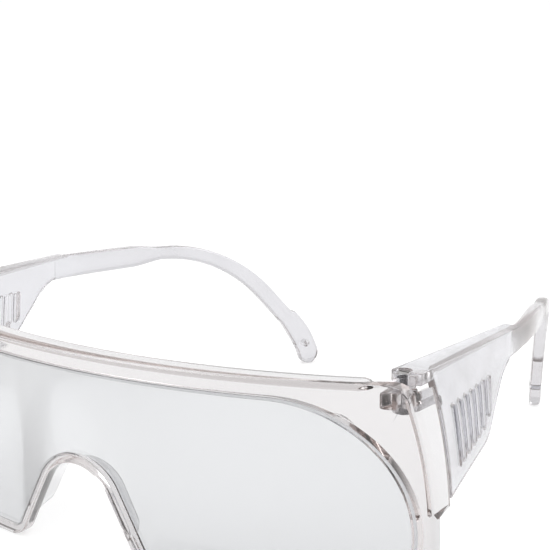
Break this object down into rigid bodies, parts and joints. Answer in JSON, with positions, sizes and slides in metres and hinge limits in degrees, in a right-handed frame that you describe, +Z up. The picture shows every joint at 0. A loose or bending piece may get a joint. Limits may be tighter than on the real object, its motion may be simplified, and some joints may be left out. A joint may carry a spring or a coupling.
{
  "type": "safety glasses",
  "caption": "Clear wrap-round over-spectacles with a one-piece lens in a clear frame and folding temples with vented side shields, worn to protect the eyes",
  "frame": {"origin": "middle of the whole, on the table that the front and the two tips stand on, with the temples open", "axes": "+X to the wearer's left, which is the right in a view of the front, +Y from the front back along the temples, +Z up"},
  "size_m": [0.1526, 0.1582, 0.0471],
  "materials": {
    "clear_frame": "clear polished polycarbonate",
    "clear_lens": "clear optical polycarbonate, hard coated",
    "clear_temple": "clear, slightly milky moulded polycarbonate",
    "screw_steel": "plain steel"
  },
  "bodies": {
    "front": {"front_frame": "clear_frame", "lens": "clear_lens"},
    "right_temple": {"right_temple": "clear_temple", "right_hinge_screw": "screw_steel"},
    "left_temple": {"left_temple": "clear_temple", "left_hinge_screw": "screw_steel"}
  },
  "joints": [
    {"name": "right_fold", "type": "hinge", "parent": "front", "child": "right_temple", "pos_m": [0.0665, -0.05341, 0.0425], "axis": [0, 0, 1], "range_deg": [0, 77]},
    {"name": "left_fold", "type": "hinge", "parent": "front", "child": "left_temple", "pos_m": [-0.0665, -0.05341, 0.0425], "axis": [0, 0, -1], "range_deg": [0, 70]}
  ]
}
